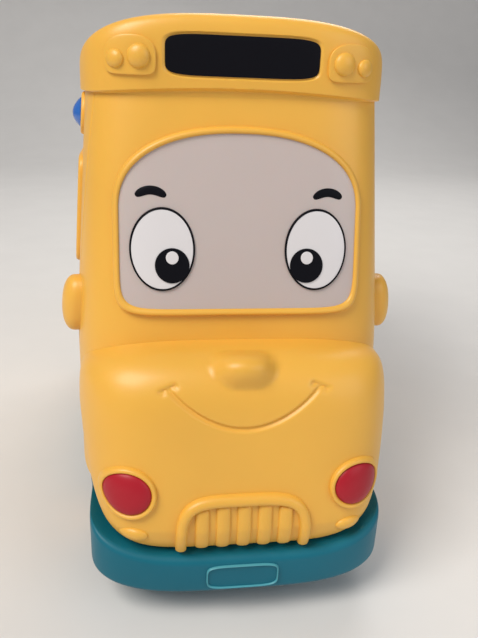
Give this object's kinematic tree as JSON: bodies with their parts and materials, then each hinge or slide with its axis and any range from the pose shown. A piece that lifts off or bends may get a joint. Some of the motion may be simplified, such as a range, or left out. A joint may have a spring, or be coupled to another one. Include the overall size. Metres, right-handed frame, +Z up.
{
  "type": "toy bus",
  "caption": "Toy bus with a rounded yellow body, smiling hood, teal bumpers, rolling wheels, a side push button and a power switch underneath.",
  "frame": {"origin": "middle of the bus on the ground, under the centre of its bounding box", "axes": "+Z up, -Y towards the front with the face, -X towards the side button"},
  "size_m": [0.1312, 0.24, 0.205],
  "materials": {
    "yellow_plastic": "satin moulded plastic",
    "teal_plastic": "satin moulded plastic",
    "hub_plastic": "satin moulded plastic",
    "tyre_rubber": "matte",
    "steel": "drawn steel",
    "black_plastic": "satin",
    "white_plastic": "satin",
    "screen_plastic": "translucent satin",
    "red_plastic": "satin",
    "window_plastic": "gloss",
    "blue_plastic": "gloss",
    "board": "solder resist",
    "cell_wrap": "printed sleeve"
  },
  "bodies": {
    "body": {"chassis": "teal_plastic", "front_bumper": "teal_plastic", "number_plate": "teal_plastic", "rear_bumper": "teal_plastic", "battery_door": "teal_plastic", "door_screw": "steel", "battery_cells": "cell_wrap", "battery_contacts": "steel", "chassis_screws": "steel", "circuit_board": "board", "speaker": "black_plastic", "switch_housing": "black_plastic", "front_shell": "yellow_plastic", "rear_shell": "yellow_plastic", "roof_cap": "yellow_plastic", "sign_insert": "black_plastic", "roof_lamps": "yellow_plastic", "windscreen_panel": "screen_plastic", "windscreen_frame": "yellow_plastic", "eye_whites": "white_plastic", "eye_pupils": "black_plastic", "eye_lights": "white_plastic", "eyebrows": "black_plastic", "hood": "yellow_plastic", "grille": "yellow_plastic", "lamp_bezels": "yellow_plastic", "lamp_left": "red_plastic", "lamp_right": "red_plastic", "signal_bumps": "yellow_plastic", "mirror_left": "yellow_plastic", "mirror_right": "yellow_plastic", "windows_left": "window_plastic", "windows_right": "window_plastic", "rear_window": "window_plastic", "tail_lamps": "red_plastic", "button_board": "board"},
    "front_wheels": {"front_axle_rod": "steel", "hub_front_left": "hub_plastic", "hub_front_right": "hub_plastic", "tyre_front_left": "tyre_rubber", "tyre_front_right": "tyre_rubber"},
    "rear_wheels": {"rear_axle_rod": "steel", "hub_rear_left": "hub_plastic", "hub_rear_right": "hub_plastic", "tyre_rear_left": "tyre_rubber", "tyre_rear_right": "tyre_rubber"},
    "button": {"side_button": "blue_plastic"},
    "switch": {"power_switch": "black_plastic"}
  },
  "joints": [
    {"name": "front_wheels_spin", "type": "hinge", "parent": "body", "child": "front_wheels", "pos_m": [0, -0.057, 0.019], "axis": [1, 0, 0], "continuous": true},
    {"name": "rear_wheels_spin", "type": "hinge", "parent": "body", "child": "rear_wheels", "pos_m": [0, 0.068, 0.019], "axis": [1, 0, 0], "continuous": true},
    {"name": "button_press", "type": "slide", "parent": "body", "child": "button", "axis": [1, 0, 0], "range_m": [0, 0.0025], "stiffness_N_per_m": 400},
    {"name": "switch_slide", "type": "slide", "parent": "body", "child": "switch", "axis": [0, 1, 0], "range_m": [0, 0.004]}
  ]
}
